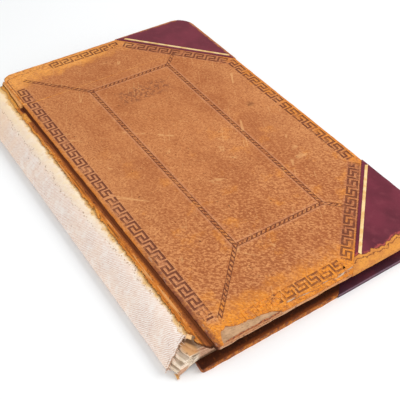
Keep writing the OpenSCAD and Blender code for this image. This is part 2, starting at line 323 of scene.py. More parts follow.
coverSet = {
    "step": 4, "edgeRound": 1.25, "backRound": 2.0, "cuts": 6, "headRound": 9, "foreRound": 16,
    "tailRound": {"front": 2.2, "back": 1.5, "core": 4}, "tailLeg": (84, 80), "headLeg": (78, 85),
    "turnInWide": 14, "lap": 2.6, "margin": -0.8, "wave": 0.10, "ragged": 0.40,
}
keySet = {
    "pitch": 11.1, "height": 7.0, "stroke": 1.65, "depth": 0.30,
    "path": ((0, 0), (0, 1), (0.69, 1), (0.69, 0.47), (0.27, 0.47), (0.27, 0), (1, 0)),
    "jointX": 7.5, "foreIn": 5.7, "tailY": 9.3, "headIn": 7.0, "cornerIn": 6.6,
    "jointRun": (20, 313), "foreRun": (89, 252), "jointMeet": -18, "foreMeet": 6, "lap": 1.2,
    "tailRun": (27.4, 115), "headRun": (46.6, 121), "cornerRun": {"tail": (9, 116), "head": (9, 114)},
}
panel = {"x": (60, 140.7), "y": (62, 278), "mitres": ((14.0, 16.8), (15.0, 325.2), (154, 50.2), (158, 293))}
# tool, dark and inside also carry painted shade on the walls and the inner face; land also carries a painted
# highlight
tan = {
    "furrow": rgb(0.34, 0.098, 0.032), "deep": rgb(0.44, 0.144, 0.050),
    "mid": rgb(0.56, 0.207, 0.073), "pale": rgb(0.73, 0.323, 0.123),
    "gold": rgb(0.81, 0.277, 0.029), "orange": rgb(0.62, 0.185, 0.020), "dark": rgb(0.050, 0.012, 0.005),
    "tool": rgb(0.175, 0.052, 0.028), "scuff": rgb(0.54, 0.45, 0.35), "smudge": rgb(0.26, 0.09, 0.042),
    "inside": rgb(0.175, 0.040, 0.009), "sunlit": rgb(0.97, 0.48, 0.15),
    "pressed": rgb(0.42, 0.15, 0.085), "land": rgb(0.62, 0.28, 0.15), "peel": rgb(0.86, 0.40, 0.13),
    "lip": rgb(0.19, 0.058, 0.036), "bared": rgb(0.62, 0.36, 0.21), "scratch": rgb(0.80, 0.42, 0.17),
    "stain": (170, 189, 5), "smudgeBox": (72, 130, 241, 266),
}


def pastCorner(x, y, at):  # how far a place lies beyond the line that cuts off a corner
    lx, ly = coverSet[at + "Leg"]
    up = y if at == "tail" else high - y
    return ((x - (wide - lx)) * ly - up * lx) / math.hypot(lx, ly)


def tanPaint(place, tooled, up):
    x, y, z = place.parts()
    broad = place.cloud(60, 3)
    patch = place.cloud(15, 4, 0.6)
    torn = place.cloud(7, 5, 0.65)
    grain = place.cloud(1.7, 3, 0.65)
    mottle = place.cloud(3.2, 5, 0.7)
    fibre = place.turned(72).stretch((0.45, 1, 1))
    cross = place.turned(-24).stretch((0.45, 1, 1))
    wrinkle = patch.step(0.40, 0.60).mix(fibre.cloud(1.1, 3, 0.7), cross.cloud(1.1, 3, 0.7))
    pebble = fibre.cells(1.6)
    tailward = y.step(190, 50)
    slanted = place.turned(40).stretch((0.6, 1, 1))
    coarse = slanted.cloud(1.2, 2, 0.6) * 0.7 - slanted.cells(1.5) * 0.32 + 0.29
    sunned = (x.low(wide - x) + (broad - 0.5) * 60).step(42, 12)  # paler towards joint and fore edge
    colour = layered(broad.step(0.34, 0.60).over(tan["deep"], tan["mid"]), tan, (
        (patch.step(0.44, 0.70) * 0.35, "pale"),
        (sunned * 0.4, "pale"),
        (y.step(185, 275) * 0.25, "deep"),
        (patch.step(0.48, 0.38) * (1 - tailward) * 0.15, "furrow"),
        (wrinkle.step(0.50, 0.38) * 0.75, "furrow"),
        (wrinkle.step(0.52, 0.66) * 0.75, "pale"),
        (coarse.step(0.475, 0.41) * (0.15 + 0.65 * tailward), "furrow"),
        (coarse.step(0.52, 0.58) * (0.15 + 0.45 * tailward), "pale"),
        (grain.step(0.45, 0.31) * (0.5 + 0.3 * tailward), "furrow"),
        (pebble.step(0.55, 0.85) * 0.35, "furrow"),
    ))
    # the corner borders are pressed to a duller pink; the joint's and the rope's raised sides are painted
    # paler, partly as painted highlight
    bands = [(pastCorner(x, y, at) + keySet["cornerIn"]).size().step(6.5, 4.5) for at in ("tail", "head")]
    beside = (x - keySet["jointX"]).size().step(5.5, 4.0) * y.step(8, 24)
    (x0, x1), (y0, y1) = panel["x"], panel["y"]
    upright = (x - (x0 + x1) / 2).size() - (x1 - x0) / 2
    level = (y - (y0 + y1) / 2).size() - (y1 - y0) / 2
    flank = (upright.top(level).size() - 2.5).size().step(1.1, 0.4)
    colour = layered(colour, tan, (
        (bands[0] * 0.35, "pressed"),
        (bands[1] * 0.35, "pressed"),
        (beside * 0.35, "land"),
        (flank * 0.35, "land"),
    ))
    # scuffed to gold towards the edges, most at the tail and the head's joint corner
    loose = (patch - 0.5) * 34 + (torn - 0.5) * 22
    tailWear = (y + loose).step(29, 8)
    headWear = (high - y + loose * 0.8).step(24, 8) * (0.45 + 0.5 * x.step(125, 65))
    cornerWear = (x + (high - y) * 0.8 + loose).step(40, 16)
    foreWear = (wide - x + loose * 0.6).step(10, 1) * 0.75
    jointWear = (x + loose * 0.4).step(5, 0) * 0.3
    rubbed = place.cloud(23, 5, 0.65).step(0.54, 0.68) * y.step(250, 70) * 0.45
    worn = tailWear.top(headWear).top(foreWear).top(jointWear).top(cornerWear).top(rubbed)
    flake = place.stretch((1, 0.7, 1)).cloud(6, 5, 0.72)  # bits of the old skin left on the worn part
    nick = place.cloud(2.6, 5, 0.75).step(0.41, 0.35)
    edge = x.low(wide - x).low(y).low(high - y)
    rim = (edge + (torn - 0.5) * 6).step(2.4, 0.2) * torn.step(0.40, 0.58)
    cracks = (torn - 0.5).size().step(0.020, 0.004) * (edge + (patch - 0.5) * 12).step(9, 3)
    colour = layered(colour, tan, (
        (worn * (0.35 + 0.65 * wrinkle.step(0.36, 0.52)), "gold"),
        (headWear.top(cornerWear) * 0.45, "sunlit"),
        (worn * flake.step(0.46, 0.36) * 0.55, "mid"),
        (worn * coarse.step(0.46, 0.38) * 0.4, "deep"),
        (worn * coarse.step(0.54, 0.62) * 0.3, "sunlit"),
        (worn * nick * 0.6, "tool"),
        (rim * 0.75, "orange"),
        (cracks * worn * 0.65, "tool"),
    ))
    # scratches, specks, a stain and one smudge
    one = place.turned(30).stretch((1, 0.03, 1)).cloud(11, 0)
    other = place.turned(-50).stretch((1, 0.04, 1)).cloud(9, 0)
    scratch = (one - 0.5).size().low((other - 0.5).size()).step(0.010, 0.003)
    speck = place.cloud(1.6, 1).step(0.73, 0.77) + place.cloud(4.3, 2).step(0.72, 0.76)
    sx, sy, radius = tan["stain"]
    away = ((x - sx) * (x - sx) + (y - sy) * (y - sy)).math("SQRT") + (torn - 0.5) * 9
    x0, x1, y0, y1 = tan["smudgeBox"]
    smudge = (x - (x0 + x1) / 2).size().step((x1 - x0) / 2, (x1 - x0) / 3)
    smudge = smudge * (y - (y0 + y1) / 2).size().step((y1 - y0) / 2, (y1 - y0) / 4)
    colour = layered(colour, tan, (
        (scratch * place.cloud(17, 2).step(0.56, 0.62) * 0.5, "scratch"),
        (speck.low(1) * 0.6, "dark"),
        (away.step(radius, radius * 0.2) * 0.40, "dark"),
        (smudge * mottle.step(0.47, 0.57) * 0.8, "smudge"),
    ))
    # bare scuffs along the tail edge, dark round their rims, and the joint edge's dirt towards the tail
    streak = place.stretch((0.12, 1, 1)).cloud(1.7, 3)
    bare = (y - 2.6).size().step(2.0, 1.0) * x.step(50, 60) * x.step(128, 112)
    lip = (x + loose * 0.12).step(3.8, 1.2) * (y + loose).step(105, 65)
    chafe = place.stretch((1, 0.2, 1)).cloud(2.2, 3).step(0.58, 0.64)
    colour = layered(colour, tan, (
        (bare * (streak - 0.57).size().step(0.045, 0.012) * 0.75, "tool"),
        (bare * streak.step(0.57, 0.60) * 0.75, "scuff"),
        (lip * (0.5 + 0.45 * torn.step(0.42, 0.6)), "lip"),
        (lip * chafe * 0.35, "scuff"),
    ))
    if up:  # pale skin rubbed bare on the joint edge near the head
        peel = y.step(290, 296) * y.step(336, 330) * (x + loose * 0.05)
        skin = (mottle.step(0.40, 0.56) * 0.8).over(tan["orange"], tan["peel"])
        colour = layered(colour, tan, (
            (peel.step(0.0, 0.3) * peel.step(2.6, 2.0) * 0.8, "tool"),
            (peel.step(0.0, 0.1) * peel.step(1.7, 1.3), skin),
        ))
    # dirt on the board's walls, with painted shade in the joint, on the back cover's upper wall and inside
    under = (z - (zFront + coverThick)) if up else (zBack - coverThick - z)
    # darker walls: dirt, and painted shade where the back cover's wall meets its shaded inner face
    wall = under.step(-1.0, -1.9) if up else under.step(-2.2, -3.4)
    dirtAndShade = 0.7 if up else 0.6
    colour = layered(colour, tan, (
        (wall * (0.15 + dirtAndShade * mottle.step(0.58, 0.44)), "tool"),
        (wall * mottle.step(0.43, 0.37) * 0.85, "dark"),
        # painted shade over dirt: the joint's wall goes near-black
        (wall * x.step(1.6, 0.5) * 0.92, "dark"),
    ))
    inside = y.low(high - y) + (mottle - 0.5) * 3
    if up:  # the tail wall is skinned down to the pale flesh side
        skinned = wall * y.step(1.5, 0.5) * x.step(1.5, 3)
        flesh = (x + loose).step(85, 50).over(tan["pale"], tan["bared"])
        colour = (skinned * (0.35 + 0.55 * mottle.step(0.36, 0.50))).over(colour, flesh)
    else:  # the back cover's rim is browned by handling
        browned = inside.step(0.8, -0.6) * (0.2 + 0.5 * mottle.step(0.54, 0.44))
        colour = browned.over(colour, tan["tool"])
    # painted shade on the inner face, over the turn-in's own dark leather: near-black deeper in, dark brown
    # by the edges
    inner = under.step(0.8 - coverThick, 0.2 - coverThick) * inside.step(-0.7, 0.3)
    edgeward = (inside + (mottle - 0.5) * 2).step(2.6, 0.4) * x.step(2, 30)
    edgeward = edgeward.top(mottle.step(0.56, 0.66) * 0.5)
    colour = (inner * 0.97).over(colour, edgeward.over(tan["dark"], tan["inside"]))
    if tooled:
        low = y.step(17, 15) * y.step(3, 5)  # the tail's keys are worn away, most by the joint
        broken = low * (torn - 0.20 * x.step(74, 40)).step(0.43, 0.35)
        broken = broken.top(y.step(44, 30) * x.step(16, 13) * torn.step(0.48, 0.40))
        fade = place.cloud(8, 4, 0.65).step(0.28, 0.52) * (1 - worn * 0.15) * (1 - broken)
        colour = (fade * 0.92).over(colour, tan["tool"])
    height = pebble.step(0.1, 0.8) * -0.3 + grain * 0.4 + wrinkle * 0.7 + torn * 0.7 - worn * 0.25
    height = height + coarse * (0.2 + tailward)
    rough = 0.62 + 0.2 * grain - worn * 0.05
    return colour, rough, height


def tanFinish(name, tooled, up):
    return finish(name, tanPaint, specular=0.08, bumpDepth=0.25 if tooled else 0.30,
                  shift=0.0 if up else lean, tooled=tooled, up=up)


frontTan = tanFinish("tanLeather", False, True)
frontTool = tanFinish("tanTooled", True, True)
backTan = tanFinish("tanLeatherBack", False, False)
backTool = tanFinish("tanTooledBack", True, False)


def rimPaint(place):  # the thin dark leather left along the bare patch
    fine = place.cloud(1.2, 3, 0.65)
    colour = fine.step(0.40, 0.60).over(tan["lip"], tan["deep"])
    return colour, None, fine


frontRim = finish("tanRim", rimPaint, roughness=0.75, specular=0.08)
print("tan leather mixed")


# maroon corner leather

# roll is the colour of a painted highlight on the back corners' rolled edge
maroon = {
    "base": rgb(0.165, 0.021, 0.039), "deep": rgb(0.112, 0.013, 0.026), "pale": rgb(0.22, 0.038, 0.056),
    "flesh": rgb(0.74, 0.30, 0.052), "edge": rgb(0.60, 0.22, 0.05), "line": rgb(0.11, 0.02, 0.010),
    "back": rgb(0.034, 0.006, 0.018), "rim": rgb(0.54, 0.09, 0.07), "roll": rgb(0.24, 0.12, 0.18),
    "skinned": 7.5,
}


def maroonPaint(place, kind):
    x, y, z = place.parts()
    broad = place.cloud(26, 3)
    patch = place.cloud(6, 4, 0.6)
    fine = place.cloud(0.7, 3, 0.6)
    height = fine * 0.5 + patch * 0.5
    if kind == "back":
        colour = (0.9 * broad.step(0.2, 0.5)).over(maroon["base"], maroon["back"])
        outer = (y + 1).low(wide + lean + 1 - x).low(high + 1 - y)  # painted highlight along its rolled edge
        roll = (z - 0.62 * zBack + (patch - 0.5) * 0.8).size().step(0.9, 0.3) * outer.step(1.6, 0.8)
        return (roll * 0.8).over(colour, maroon["roll"]), 0.40 + 0.16 * patch, height
    colour = broad.step(0.35, 0.65).over(maroon["deep"], maroon["base"])
    colour = (patch.step(0.5, 0.72) * 0.4).over(colour, maroon["pale"])
    rough = 0.34 + 0.16 * patch
    loose = (patch - 0.5) * 9 + (fine - 0.5) * 3
    edge = (wide + 1 - x).low(y + 1).low(high + 1 - y)
    rubbed = (edge + loose * 0.8).step(2.2, 0.6) * 0.85
    if kind == "head":
        colour = (0.2 + 0.2 * patch).over(colour, maroon["pale"])
        return (rubbed * 0.8).over(colour, maroon["edge"]), rough, height
    # the tail piece kept the colour of its fore edge, and is skinned along a ragged line
    rubbed = rubbed * y.step(14, 6)
    line = y - maroon["skinned"] + (place.stretch((1, 0.4, 1)).cloud(12, 5, 0.65) - 0.5) * 18
    line = line + (x - (wide - 40)) * 0.03
    bare = line.step(0.35, -0.35)
    flesh = patch.step(0.35, 0.65).over(maroon["flesh"], maroon["edge"])
    flesh = (fine.step(0.46, 0.30) * 0.6).over(flesh, maroon["line"])
    red = line.step(2.6, 0.4) * (1 - bare) * patch.step(0.36, 0.50)
    second = (line + 3.2 + (patch - 0.5) * 5).size().step(0.75, 0.25) * broad.step(0.34, 0.44)
    colour = layered(colour, maroon, (
        (rubbed * 0.8, "edge"),
        (bare, flesh),
        (red * 0.8, "rim"),
        (line.size().step(0.7, 0.25) * 0.8, "line"),
        (second * 0.75, "line"),
    ))
    return colour, rough + bare * 0.3, height - bare * 0.8


maroonMats = {}
for kind, shine in (("head", 0.16), ("tail", 0.16), ("back", 0.25)):
    maroonMats[kind] = finish("maroon" + kind.title(), maroonPaint, specular=shine, bumpDepth=0.12, kind=kind)


# rubbed gilt

gilt = {"gold": rgb(0.82, 0.48, 0.17), "pale": rgb(0.94, 0.68, 0.33), "rubbed": rgb(0.50, 0.19, 0.05),
        "width": 2.3, "rise": 0.14, "step": 1.2}


def giltPaint(place):
    patch = place.cloud(5, 3)
    fine = place.cloud(0.8, 3, 0.6)
    colour = patch.step(0.35, 0.65).over(gilt["gold"], gilt["pale"])
    colour = ((fine * 0.6 + patch * 0.4).step(0.60, 0.70) * 0.8).over(colour, gilt["rubbed"])
    return colour, 0.30 + 0.2 * fine, fine


giltMat = finish("rubbedGilt", giltPaint, specular=0.3, metallic=0.25, bumpDepth=0.06)


# bare pasteboard, paper and sewing tape

board = {"grey": rgb(0.46, 0.27, 0.145), "dark": rgb(0.31, 0.18, 0.095), "pale": rgb(0.60, 0.36, 0.20),
         "wall": rgb(0.66, 0.31, 0.145), "wallDark": rgb(0.40, 0.16, 0.06)}


def boardPaint(place):
    fibre = place.stretch((0.5, 1, 1)).cloud(1.3, 4, 0.65)
    patch = place.cloud(6, 3)
    colour = patch.step(0.35, 0.65).over(board["grey"], board["pale"])
    colour = (fibre.step(0.5, 0.36) * 0.6).over(colour, board["dark"])
    wall = place.parts()[1].step(0.5, 0.1)
    colour = (wall * 0.9).over(colour, fibre.step(0.36, 0.56).over(board["wallDark"], board["wall"]))
    return colour, None, fibre


boardMat = finish("bareBoard", boardPaint, roughness=0.9, specular=0.15, bumpDepth=0.25)

# crease is the colour of real creases and also of painted shade between and under the leaves
paper = {
    "leaf": rgb(0.70, 0.55, 0.39), "fox": rgb(0.46, 0.27, 0.12), "edge": rgb(0.74, 0.44, 0.29),
    "edgeDark": rgb(0.46, 0.25, 0.15), "fold": rgb(1.0, 0.84, 0.67), "stain": rgb(0.67, 0.33, 0.12),
    "crease": rgb(0.20, 0.11, 0.06), "lining": rgb(0.96, 0.60, 0.30),
}


curlSet = {"from": (-10.9, 17.9, 19.6), "to": (-8.0, 13.4, 20.4), "wide": 1.45, "turns": 1.4,
           "aroundSteps": 30, "alongSteps": 14}


def leafPaint(place):
    x, y = place.parts()[:2]
    broad = place.cloud(60, 3)
    spots = place.cloud(5, 3).step(0.68, 0.74)
    edge = x.low(wide - x).low(y).low(high - y)
    colour = layered((broad.step(0.4, 0.7) * 0.4).over(paper["leaf"], paper["fold"]), paper, (
        (spots * 0.5, "fox"),
        ((edge + broad * 14).step(24, 9) * 0.5, "stain"),
    ))
    return colour, None, place.cloud(0.5, 3)


def edgePaint(place):
    x, y, z = place.parts()
    leaves = place.stretch((0.03, 0.03, 1)).cloud(0.42, 3, 0.6)
    broad = place.stretch((0.3, 0.3, 1)).cloud(5, 3)
    # painted shade along the lowest leaves, a dark line under the page block
    lowest = (z + (broad - 0.5) * 2).step(zBack + 3.2, zBack + 1.6) * x.step(-13, -7)
    fold = x.step(-6.5, -10.5) * (y - pageTail).step(0.4, 1.0)
    dirty = place.cloud(4, 3).step(0.40, 0.62) * 0.7
    layer = place.node("UVMap", {}).parts()[1]  # 0 to 1 through each section
    # painted shade in the gaps between the sections' folds
    groove = ((layer - 0.5).size() + (broad - 0.5) * 0.20).step(0.40, 0.50)
    marks = place.turned(35).stretch((0.3, 1, 1)).cloud(3, 3).step(0.58, 0.66)
    shoulder = (z - zFront + 5.4 + (broad - 0.5) * 5).step(0, 2) * fold * x.step(-21, -15)
    # painted shadow of the curl on the folds beside it
    (ax, ay), (bx, by) = curlSet["from"][:2], curlSet["to"][:2]
    along = ((x - ax) * (bx - ax) + (y - ay) * (by - ay)) / ((bx - ax) ** 2 + (by - ay) ** 2)
    along = along.top(-0.1).low(1.2)
    dx = x - ax - along * (bx - ax) + 0.6
    dy = y - ay - along * (by - ay) + 0.5
    shade = (dx * dx + dy * dy).math("SQRT") + (broad - 0.5) * 2
    top = z.step(zFront - 0.12, zFront - 0.04) * x.step(-7, -5)
    colour = layered(leaves.step(0.34, 0.62).over(paper["edgeDark"], paper["edge"]), paper, (
        (broad.step(0.45, 0.7) * 0.4, "leaf"),
        (x.step(0, 9) * 0.55, "crease"),  # painted shade between the covers
        (lowest * 0.85, "crease"),
        (fold, dirty.over(paper["fold"], paper["leaf"])),
        (groove * fold * 0.52, "crease"),
        (marks * fold * 0.6, "crease"),
        (shoulder * 0.85, "stain"),
        (shoulder * marks * 0.7, "crease"),
        (fold * shade.step(2.6, 1.4) * 0.9, "crease"),  # painted shadow under the curl
        (top * 0.85, "leaf"),
    ))
    return colour, None, leaves * (1 - fold * 0.7)


def liningPaint(place):
    along, turn = place.node("UVMap", {}).parts()[:2]  # turn is 0 inside the roll, 1 at its loose edge
    soft = place.cloud(3, 4, 0.65)
    fine = place.cloud(0.9, 3, 0.6)
    rim = turn.step(0.92, 1.0).top((along + (fine - 0.5) * 0.3).step(0.62, 0.74))  # painted shade at its open end and along its loose edge
    colour = layered((soft.step(0.42, 0.60) * 0.8).over(paper["lining"], paper["stain"]), paper, (
        (fine.step(0.60, 0.70) * 0.5, "fox"),
        # painted shade inside the roll, along its loose edge and at its open end
        (turn.step(0.52, 0.34) * 0.95, "crease"),
        (rim * 0.9, "crease"),
    ))
    return colour, None, soft + fine * 0.4


leafMat = finish("agedLeaf", leafPaint, roughness=0.85, specular=0.15, bumpDepth=0.05)
edgeMat = finish("pageEdges", edgePaint, roughness=0.85, specular=0.15, bumpDepth=0.25)
liningMat = finish("paperLining", liningPaint, roughness=0.9, specular=0.1, bumpDepth=0.2)

tape = {"base": rgb(0.66, 0.56, 0.42), "dark": rgb(0.42, 0.33, 0.22)}


def tapePaint(place):
    weave = place.cells(0.7)
    colour = weave.step(0.2, 0.6).over(tape["base"], tape["dark"])
    return colour, None, weave


tapeMat = finish("sewingTape", tapePaint, roughness=0.9, specular=0.1, bumpDepth=0.1)


# canvas twill

twill = {
    "cream": rgb(1.0, 0.76, 0.59), "shade": rgb(0.73, 0.47, 0.36), "pale": rgb(1.0, 0.92, 0.85),
    "yellow": rgb(0.96, 0.75, 0.44), "glue": rgb(0.80, 0.46, 0.14), "brown": rgb(0.28, 0.12, 0.035),
    "grey": rgb(0.46, 0.41, 0.37), "head": rgb(1.0, 0.67, 0.40),
    "rib": 1.15, "slant": -42,
}


def twillPaint(place):
    x, y = place.parts()[:2]
    coords = place.node("UVMap", {})
    cloth = coords.stretch((canvasFlat, canvasLong, 1))
    turned = cloth.turned(twill["slant"])
    across = turned.parts()[1]
    wavy = (cloth.cloud(14, 2) - 0.5) * 0.5
    rib = (across * (2 * math.pi / twill["rib"]) + wavy).math("SINE") * 0.5 + 0.5
    yarn = turned.stretch((0.25, 1.6, 1)).cloud(0.8, 3, 0.6)
    soil = cloth.cloud(24, 4)
    spread = cloth.cloud(8, 4, 0.6)
    fine = cloth.cloud(1.6, 3, 0.6)
    thread = (rib.step(0.40, 1.0) * 0.7 + yarn.step(0.42, 0.62) * 0.4).low(1)
    # old glue beside the torn leather, with a broken brown tide line
    gap = tornAt(y) - x + (soil - 0.5) * 9 + (spread - 0.5) * 11 + (fine - 0.5) * 2
    past = gap - (2.5 + 7.5 * y.step(50, 200))
    tide = past.size().step(0.60, 0.20) * fine.step(0.50, 0.60)
    crumbs = fine.step(0.58, 0.64) * gap.step(3.4, 1.0)
    hem = cloth.parts()[1] + (fine - 0.5) * 0.8
    hemLine = hem.step(0.55, 0.25).top((hem - 1.9).size().step(0.40, 0.12) * spread.step(0.44, 0.52) * 0.7)
    fleck = cloth.cloud(2.6, 1).step(0.745, 0.775)
    colour = layered(thread.over(twill["pale"], twill["shade"]), twill, (
        (soil.step(0.38, 0.62) * 0.35, "cream"),
        (cloth.cloud(5, 4, 0.65).step(0.54, 0.70) * 0.4, "shade"),
        (cloth.cloud(11, 4, 0.65).step(0.50, 0.64) * 0.5, "pale"),
        ((y + (soil - 0.5) * 90).step(215, 340) * 0.5, "head"),
        (past.step(2.5, -4.0) * (0.3 + 0.35 * spread.step(0.38, 0.62)), "yellow"),
        (tide * 0.7, "brown"),
        (gap.step(3.2, 0.2) * 0.85, "glue"),
        (crumbs * 0.8, "brown"),
        (hemLine * 0.75, "brown"),
        (fleck * 0.6, "grey"),
    ))
    return colour, None, rib * 0.5 + yarn * 0.5


# torn joint leather

strip = {
    "deep": rgb(0.105, 0.025, 0.008), "brown": rgb(0.29, 0.080, 0.021), "orange": rgb(0.62, 0.185, 0.024),
    "gold": rgb(0.82, 0.37, 0.07), "peach": rgb(0.80, 0.40, 0.145), "line": rgb(0.055, 0.017, 0.007),
    "peelFrom": 293, "hole": (-2.2, 288, 4.2),
}


def stripPaint(place):
    x, y = place.parts()[:2]
    far = place.node("UVMap", {}).parts()[0]  # 0 at the board, 1 at the torn edge
    flow = place.stretch((1, 0.10, 1))
    broad = flow.cloud(5, 4, 0.6)
    fine = place.cloud(1.3, 4, 0.65)
    grain = flow.cloud(1.1, 3, 0.6)
    loose = (broad - 0.5) * 0.8 + (fine - 0.5) * 0.5
    rusty = y.step(260, 120) * 0.14  # more orange towards the tail
    hollow = flow.cloud(16, 3).step(0.38, 0.58)
    pits = place.stretch((1, 0.5, 1)).cloud(1.9, 3, 0.65).step(0.58, 0.66)
    streak = place.stretch((1, 0.05, 1)).cloud(1.7, 2)  # lengthwise folds, painted shade below and painted highlight above
    edge = (far + loose * 0.12).step(0.90, 0.97) * fine.step(0.46, 0.56)
    j = jointSet
    share = ((far - j["lipShare"]) / (1 - j["lipShare"])).top(0)
    slope = share.math("POWER", j["slantPower"]) * j["slantEnd"]
    ending = y - j["tail"] - slope + (fine - 0.5) * 2  # the dark, broken tail end
    colour = (far + loose + rusty).step(0.50, 0.84).over(strip["brown"], strip["orange"])
    colour = layered(colour, strip, (
        ((far + loose).step(0.80, 0.98) * fine.step(0.36, 0.56) * 0.85, "gold"),
        (grain.step(0.50, 0.34) * 0.7, "brown"),
        # painted shade in the groove beside the board, over the leather's own dark brown
        ((far + loose * 0.35).step(0.36, 0.18) * (0.60 + 0.33 * hollow), "deep"),
        (fine.step(0.58, 0.68) * 0.7 * far.step(0.40, 0.60), "peach"),
        (pits * 0.7 * far.step(0.30, 0.50), "line"),
        (streak.step(0.43, 0.36) * far.step(0.35, 0.50) * 0.6, "line"),
        (streak.step(0.60, 0.67) * far.step(0.45, 0.60) * 0.6, "peach"),
        (edge * 0.8, "line"),
        (ending.step(2.4, 0.6) * 0.85, "line"),
    ))
    # pale skin peeled up beside the board near the head, golden beyond it and on the flap
    head = (y + (broad - 0.5) * 10).step(strip["peelFrom"] - 3, strip["peelFrom"] + 3)
    flap = (y - j["flap"][0] + (broad - 0.5) * 6).size().step(8, 5) * far.step(0.34, 0.46)
    taper = 0.54 - (y - strip["peelFrom"]) * 0.003
    border = far + loose * 0.2 - taper
    skin = (broad * 0.5 + fine * 0.5).step(0.42, 0.58).over(strip["orange"], strip["peach"])
    rim = (border - 0.07).size().step(0.08, 0.03)
    hx, hy, hr = strip["hole"]
    away = ((x - hx) * (x - hx) * 3 + (y - hy) * (y - hy)).math("SQRT") + loose * 3
    colour = layered(colour, strip, (
        (head.top(flap) * (0.35 + 0.5 * fine.step(0.38, 0.54)), "gold"),
        (head * border.step(0.05, -0.05) * 0.92, skin),
        (rim * head * 0.85, "line"),
        (away.step(hr + 0.5, hr - 1), "deep"),
    ))
    return colour, 0.66 + 0.2 * fine, broad * 0.6 + grain * 0.6 + fine * 0.7


# covers

def cornerCut(at, keep, lap=0):  # the plane between the tan leather and a corner piece
    lx, ly = coverSet[at + "Leg"]
    start = Vector((wide - lx, 0 if at == "tail" else high, 0))
    end = Vector((wide, ly if at == "tail" else high - ly, 0))
    way = (end - start).normalized()
    side = Vector((way.y, -way.x, 0)) if at == "tail" else Vector((-way.y, way.x, 0))
    return start + side * lap, side * keep


def coverBlank(name, x0, x1, y0, y1, thick, grow, cuts, step, tailRound=0):
    obj = startGrid(name, x0, x1, y0, y1, thick, step)
    for point, way in cuts:
        bisected(obj, point, way, drop=True)
    n = coverSet["cuts"]
    for r, y, a0, a1 in ((tailRound, 0, 180, 270), (coverSet["headRound"], high, 90, 180)):
        toward = 1 if y == 0 else -1
        if x0 < wide / 2:
            roundedOff(obj, (r + skinThick, y + toward * r), r + grow, a0, a1, n)
    r = coverSet["foreRound"]
    for y, a0, a1 in ((r, 270, 360), (high - r, 0, 90)):
        if y0 < y < y1:
            roundedOff(obj, (wide - r, y), r + grow, a0, a1, n)
    return applied(obj, "SOLIDIFY", thickness=thick, offset=-1)


def hollowed(obj):  # room for the board, and the open inner face
    core = coverBlank("core", skinThick, wide, 0, high, coverThick - skinThick, 0, (), wide,
                      coverSet["tailRound"]["core"])
    moved(core, lambda p: Vector((p.x, p.y, max(p.z, turnIn))))
    subtract(obj, core)
    margin = coverSet["turnInWide"]
    window = startBox("window", (-9, margin, -5), (wide - margin, high - margin, turnIn + 0.05))
    subtract(obj, window)
    return obj


def weathered(obj, seed, ragged=None, wave=None):  # bowed faces and rubbed, uneven edges
    ragged = coverSet["ragged"] if ragged is None else ragged
    wave = coverSet["wave"] if wave is None else wave

    def change(p):
        edge = min(p.x, wide - p.x, p.y, high - p.y)
        near = ease(1 - edge / 5)
        push = wander((p.x, p.y, p.z * 2), 6.5, seed) + wander((p.x, p.y, p.z * 2), 2.3, seed + 9) * 0.6
        p.x += push.x * ragged * near
        p.y += push.y * ragged * near
        p.z += push.z * 0.10 * near * ease(p.z)
        p.z += wander((p.x, p.y, 0), 38, seed + 3).z * wave * ease((edge + 2) / 8)
        return p

    return moved(obj, change)


def tornPatch():  # ragged block along the tail edge where the leather is gone
    x0, x1, depth = bareSet["from"], bareSet["to"], bareSet["depth"]
    obj = startGrid("bare", x0, x1, -6, 0, 9, bareSet["step"])
    low = min(v.co.y for v in obj.data.vertices)

    def change(p):
        share = (p.x - x0) / (x1 - x0)
        swell = min(1, share * 9) ** 0.7 * (1 - 0.72 * share) * min(1, (1 - share) * 9)
        line = depth * swell * (1 + 0.22 * rag(p.x, 2)) - 0.6
        p.y = low + (p.y - low) / (0 - low) * (line - low)
        return p

    moved(obj, change)
    applied(obj, "SOLIDIFY", thickness=9 - turnIn - 0.25, offset=-1)
    return outward(obj)


def remnant():  # the ragged rim of leather that still holds along the bare patch
    x0, x1 = bareSet["from"] + 3, bareSet["to"] - 3
    obj = startGrid("remnant", x0, x1, 0, 1, coverThick - 0.12, 0.25, bareSet["step"] / 2)

    def change(p):
        width = bareSet["rim"] * (0.75 + 0.5 * rag(p.x * 1.6, 12))
        lift = 0.25 * max(0, rag(p.x, 15)) * p.y
        return Vector((p.x, -0.45 + 0.25 * rag(p.x, 18) + p.y * max(0.25, width), p.z + lift))

    moved(obj, change)
    return applied(obj, "SOLIDIFY", thickness=0.6, offset=-1)


bareSet = {"from": 4.5, "to": 53, "depth": 10.6, "step": 1.0, "rim": 1.3}


# blind tooling: a key border by ribbon and array, a roped panel by slanted dashes

ropeSet = {"period": 4.2, "long": 3.5, "wide": 1.1, "slant": 40, "gap": 2.0, "rail": 0.55, "railAt": 1.4}


def laid(obj, start, end):  # turned along a line and put at its start, cutting into the cover's face
    way = Vector(end) - Vector(start)
    obj.rotation_euler = (0, 0, math.atan2(way.y, way.x))
    obj.location = (start[0], start[1], coverThick - keySet["depth"])
    return fixed(obj)


